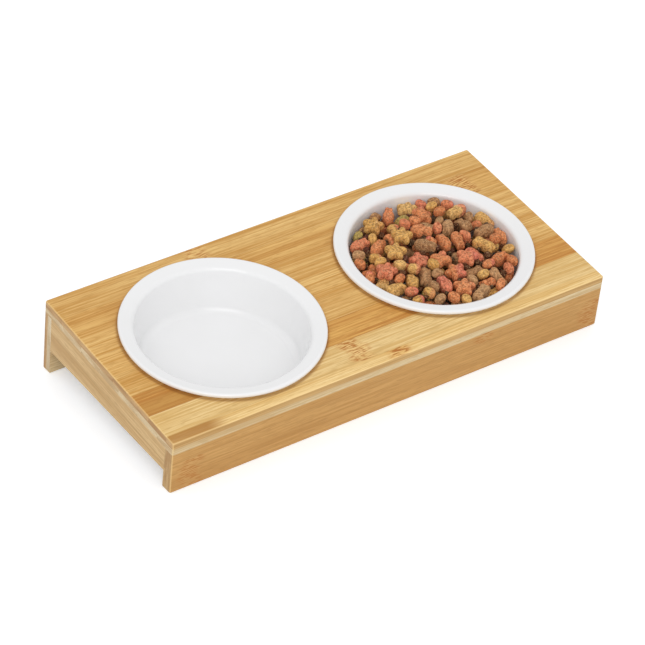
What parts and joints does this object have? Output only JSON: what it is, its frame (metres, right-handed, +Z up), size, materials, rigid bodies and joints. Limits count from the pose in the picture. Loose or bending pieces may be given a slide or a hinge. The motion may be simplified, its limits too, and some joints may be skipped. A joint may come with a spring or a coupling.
{
  "type": "pet feeding station",
  "caption": "Slanted bamboo stand whose strip-glued top board carries round lift-out ceramic bowls side by side, for raised feeding of cats and small dogs; dry kibble heaps a bowl.",
  "frame": {"origin": "on the ground, under the middle of the stand's box", "axes": "+X along the stand to the right as seen from its low front edge, +Y from the low front edge to the high back edge, +Z up"},
  "size_m": [0.35, 0.166, 0.0629],
  "materials": {
    "bamboo_golden": "satin",
    "bamboo_pale": "satin",
    "bamboo_amber": "satin",
    "dowel_wood": "matte",
    "white_glaze": "gloss",
    "kibble_salmon": "matte",
    "kibble_tan": "matte",
    "kibble_brown": "matte",
    "kibble_olive": "matte"
  },
  "bodies": {
    "stand": {"back_plank_dowels": "dowel_wood", "back_plank_face_strip_1": "bamboo_golden", "back_plank_face_strip_2": "bamboo_golden", "back_plank_face_strip_3": "bamboo_golden", "back_plank_inner_strip_1": "bamboo_golden", "back_plank_inner_strip_2": "bamboo_golden", "board_face_strip_1": "bamboo_amber", "board_face_strip_2": "bamboo_pale", "board_face_strip_3": "bamboo_amber", "board_face_strip_4": "bamboo_golden", "board_face_strip_5": "bamboo_golden", "board_face_strip_6": "bamboo_golden", "board_face_strip_7": "bamboo_golden", "board_face_strip_8": "bamboo_golden", "board_under_strip_1": "bamboo_pale", "board_under_strip_2": "bamboo_golden", "board_under_strip_3": "bamboo_golden", "board_under_strip_4": "bamboo_golden", "board_under_strip_5": "bamboo_golden", "board_under_strip_6": "bamboo_golden", "board_under_strip_7": "bamboo_golden", "front_plank_dowels": "dowel_wood", "front_plank_face_strip_1": "bamboo_amber", "front_plank_face_strip_2": "bamboo_amber", "front_plank_inner_strip_1": "bamboo_golden", "front_plank_inner_strip_2": "bamboo_golden", "left_apron_dowels": "dowel_wood", "left_apron_face_strip_1": "bamboo_pale", "left_apron_face_strip_2": "bamboo_pale", "left_apron_inner_strip_1": "bamboo_pale", "left_apron_inner_strip_2": "bamboo_pale", "right_apron_dowels": "dowel_wood", "right_apron_face_strip_1": "bamboo_pale", "right_apron_face_strip_2": "bamboo_pale", "right_apron_inner_strip_1": "bamboo_pale", "right_apron_inner_strip_2": "bamboo_pale"},
    "left_bowl": {"left_bowl": "white_glaze"},
    "right_bowl": {"right_bowl": "white_glaze"},
    "food": {"kibble_balls": "kibble_olive", "kibble_bones": "kibble_brown", "kibble_crosses": "kibble_salmon", "kibble_fish": "kibble_tan", "kibble_ovals": "kibble_tan", "kibble_stars": "kibble_salmon"}
  },
  "joints": [
    {"name": "left_bowl_lift", "type": "slide", "parent": "stand", "child": "left_bowl", "axis": [0, -0.1006, 0.9949], "range_m": [0, 0.06]},
    {"name": "right_bowl_lift", "type": "slide", "parent": "stand", "child": "right_bowl", "axis": [0, -0.1006, 0.9949], "range_m": [0, 0.06]},
    {"name": "food_lift", "type": "slide", "parent": "right_bowl", "child": "food", "axis": [0, -0.1006, 0.9949], "range_m": [0, 0.06]}
  ]
}
